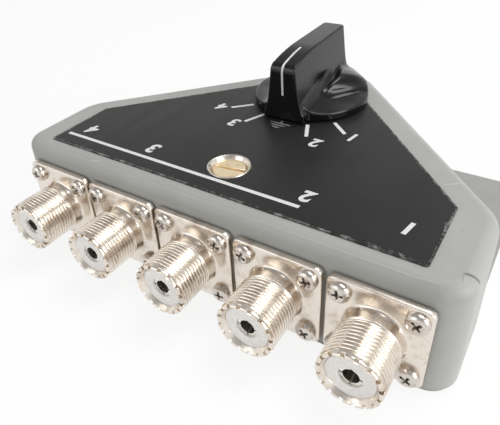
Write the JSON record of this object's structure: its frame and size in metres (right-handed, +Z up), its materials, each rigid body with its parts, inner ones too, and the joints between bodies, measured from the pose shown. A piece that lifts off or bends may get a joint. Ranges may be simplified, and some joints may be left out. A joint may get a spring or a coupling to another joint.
{
  "type": "coaxial antenna switch",
  "caption": "Cast box that narrows towards a bar knob, with a row of threaded coaxial sockets along its wide side and a slotted screw-in surge plug in its top.",
  "frame": {"origin": "the point where the selector shaft's axis meets the underside of the base plate", "axes": "+X along the row of sockets, +Y from the sockets to the knob's end, +Z up along the selector shaft"},
  "size_m": [0.144, 0.1173, 0.0559],
  "materials": {
    "casting": "cast, with grey paint",
    "base_sheet": "brushed sheet",
    "label": "dark printed sheet, satin",
    "socket_plating": "nickel plated, worn",
    "contact_plating": "silver plated",
    "white_insulator": "moulded, satin",
    "screw_plating": "nickel plated",
    "knob_plastic": "moulded, glossy",
    "plug_brass": "turned, bare",
    "plain_brass": "turned, bare",
    "contact_brass": "silver plated strip",
    "steel": "plain",
    "insulating_plastic": "moulded",
    "board": "laminated board",
    "ceramic": "ceramic tube",
    "electrode_metal": "plated caps"
  },
  "bodies": {
    "case": {"base_plate": "base_sheet", "common_contact": "contact_plating", "common_insulator": "white_insulator", "common_screws": "screw_plating", "common_shell": "socket_plating", "common_strip": "contact_brass", "common_stud": "contact_brass", "cover_screws": "screw_plating", "detent_spring": "steel", "ground_screw": "screw_plating", "ground_strip": "contact_brass", "housing": "casting", "index_frame": "steel", "label_plate": "label", "lock_washer": "screw_plating", "panel_nut": "plain_brass", "plug_sleeve": "socket_plating", "port_1_contact": "contact_plating", "port_1_insulator": "white_insulator", "port_1_screws": "screw_plating", "port_1_shell": "socket_plating", "port_1_strip": "contact_brass", "port_2_contact": "contact_plating", "port_2_insulator": "white_insulator", "port_2_screws": "screw_plating", "port_2_shell": "socket_plating", "port_2_strip": "contact_brass", "port_3_contact": "contact_plating", "port_3_insulator": "white_insulator", "port_3_screws": "screw_plating", "port_3_shell": "socket_plating", "port_3_strip": "contact_brass", "port_4_contact": "contact_plating", "port_4_insulator": "white_insulator", "port_4_screws": "screw_plating", "port_4_shell": "socket_plating", "port_4_strip": "contact_brass", "shaft_bushing": "plain_brass", "sleeve_nut": "plain_brass", "stator_board": "board", "stator_screws": "screw_plating", "stator_spacers": "plain_brass", "strip_rivets": "plain_brass", "tube_contact": "steel"},
    "selector": {"shaft": "steel", "retaining_ring": "steel", "detent_wheel": "plain_brass", "stop_pin": "steel", "rotor_hub": "insulating_plastic", "rotor_wiper": "contact_brass", "hub_rivets": "plain_brass", "knob": "knob_plastic", "knob_insert": "plain_brass", "knob_set_screw": "steel"},
    "surge_tube": {"gas_tube": "ceramic", "tube_electrodes": "electrode_metal"},
    "surge_cap": {"plug_cap": "plug_brass"}
  },
  "joints": [
    {"name": "knob_turn", "type": "hinge", "parent": "case", "child": "selector", "pos_m": [0, 0, 0.044], "axis": [0, 0, 1], "range_deg": [-48, 48], "deforming": ["detent_spring"]},
    {"name": "plug_lift", "type": "slide", "parent": "case", "child": "surge_tube", "axis": [0, 0, 1], "range_m": [0, 0.01778]},
    {"name": "plug_turn", "type": "hinge", "parent": "surge_tube", "child": "surge_cap", "pos_m": [0, -0.0526, 0.033], "axis": [0, 0, 1], "range_deg": [0, 5040]}
  ],
  "couplings": [
    {"joint": "plug_lift", "follows": "plug_turn", "m_per_rad": 0.00020213}
  ]
}
